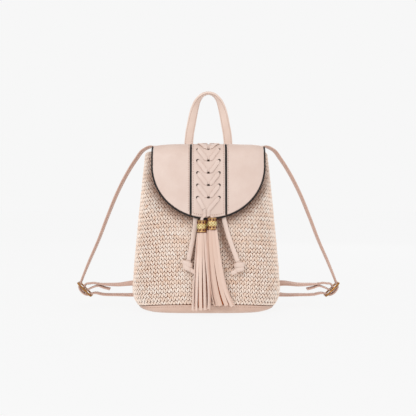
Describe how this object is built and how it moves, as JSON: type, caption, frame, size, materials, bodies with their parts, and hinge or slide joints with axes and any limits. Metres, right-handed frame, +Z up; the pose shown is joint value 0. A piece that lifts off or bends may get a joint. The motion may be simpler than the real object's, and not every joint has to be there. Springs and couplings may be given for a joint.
{
  "type": "woven straw backpack",
  "caption": "Small cream woven straw backpack with a laced leather flap, gold-cuffed tassels, knotted drawstring, carry handle and buckled shoulder straps.",
  "frame": {"origin": "middle of the flat underside of the base", "axes": "+Z up, -Y the front with the flap and tassels, +X to the right seen from the front"},
  "size_m": [0.4496, 0.1476, 0.3677],
  "materials": {
    "straw": "woven",
    "leather": "smooth grain",
    "strap_leather": "soft matt",
    "piping": "satin",
    "gold": "polished"
  },
  "bodies": {
    "root": {"straw_body": "straw", "base_panel": "leather", "flap_left_panel": "leather", "flap_centre_panel": "leather", "flap_right_panel": "leather", "piping_edge": "piping", "piping_left_seam": "piping", "piping_right_seam": "piping", "lace_left": "leather", "lace_right": "leather", "cuff_left": "gold", "cuff_right": "gold", "tassel_left": "leather", "tassel_right": "leather", "drawstring": "strap_leather", "drawstring_end_left": "strap_leather", "drawstring_end_right": "strap_leather", "knot_left": "strap_leather", "knot_right": "strap_leather", "top_handle": "leather", "shoulder_strap_left": "strap_leather", "shoulder_strap_right": "strap_leather", "strap_slide_left": "gold", "strap_slide_right": "gold", "strap_ring_left": "gold", "strap_ring_right": "gold", "ring_tab_left": "strap_leather", "ring_tab_right": "strap_leather"}
  },
  "joints": []
}
